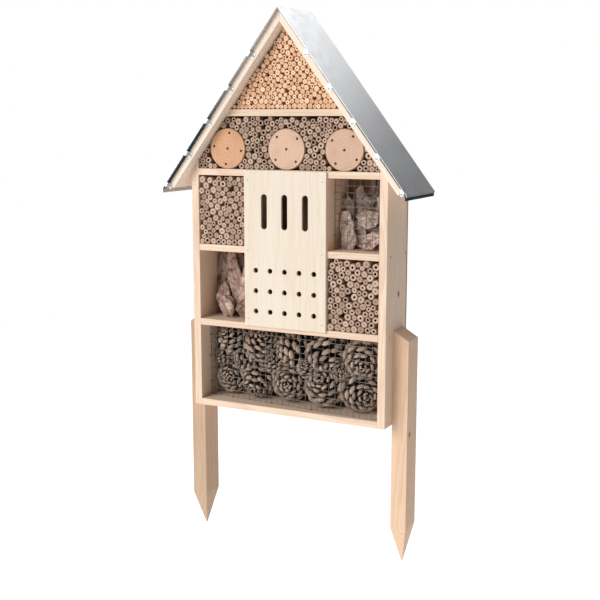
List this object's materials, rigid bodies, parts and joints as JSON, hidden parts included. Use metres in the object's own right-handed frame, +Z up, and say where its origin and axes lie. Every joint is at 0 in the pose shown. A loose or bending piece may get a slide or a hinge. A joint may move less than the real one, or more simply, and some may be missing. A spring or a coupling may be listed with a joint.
{
  "type": "insect hotel",
  "caption": "House-shaped insect hotel on two ground stakes, with chambers of canes, logs, bark and pine cones under a steep metal roof.",
  "frame": {"origin": "on the ground plane at the stakes' points, midway between the stakes and below the middle of the roof's depth", "axes": "+Z up; -Y is the front, where the chambers open; +X to the right seen from the front"},
  "size_m": [0.4922, 0.142, 1.0144],
  "materials": {
    "case_wood": "planed spruce, untreated",
    "plywood": "sanded poplar plywood",
    "hardboard": "brown hardboard, smooth",
    "roof_wood": "planed spruce, untreated",
    "stake_wood": "sawn and planed pine",
    "galvanised_sheet": "hot-dip galvanised, dull",
    "bitumen_felt": "sanded bitumen felt",
    "bright_steel": "zinc-plated",
    "galvanised_wire": "galvanised wire",
    "bamboo": "sawn bamboo ends",
    "reed": "cut reed ends",
    "log_wood": "sawn round log",
    "bark": "rough pine bark",
    "pine_cone": "dry open scales"
  },
  "bodies": {
    "root": {"back_panel": "hardboard", "back_pins": "bright_steel", "bark_left": "bark", "bark_right": "bark", "box_divider": "case_wood", "box_side_left": "case_wood", "box_side_right": "case_wood", "canes_log_row": "bamboo", "canes_lower_right": "bamboo", "canes_upper_left": "bamboo", "case_nails": "bright_steel", "floor_board": "case_wood", "front_panel": "plywood", "log_left": "log_wood", "log_middle": "log_wood", "log_right": "log_wood", "mesh_bark": "galvanised_wire", "mesh_cones": "galvanised_wire", "mesh_staples": "bright_steel", "panel_pins": "bright_steel", "pine_cone_01": "pine_cone", "pine_cone_02": "pine_cone", "pine_cone_03": "pine_cone", "pine_cone_04": "pine_cone", "pine_cone_05": "pine_cone", "pine_cone_06": "pine_cone", "pine_cone_07": "pine_cone", "pine_cone_08": "pine_cone", "pine_cone_09": "pine_cone", "pine_cone_10": "pine_cone", "pine_cone_11": "pine_cone", "pine_cone_12": "pine_cone", "pine_cone_13": "pine_cone", "pine_cone_14": "pine_cone", "pine_cone_15": "pine_cone", "reeds_apex": "reed", "roof_board_left": "roof_wood", "roof_board_nails": "bright_steel", "roof_board_right": "roof_wood", "roof_felt": "bitumen_felt", "roof_nails": "bright_steel", "roof_sheet": "galvanised_sheet", "shelf_eave": "case_wood", "shelf_gable": "case_wood", "shelf_lower": "case_wood", "shelf_middle_left": "case_wood", "shelf_middle_right": "case_wood", "side_wall_left": "case_wood", "side_wall_right": "case_wood", "stake_left": "stake_wood", "stake_right": "stake_wood", "stake_screws": "bright_steel"}
  },
  "joints": []
}
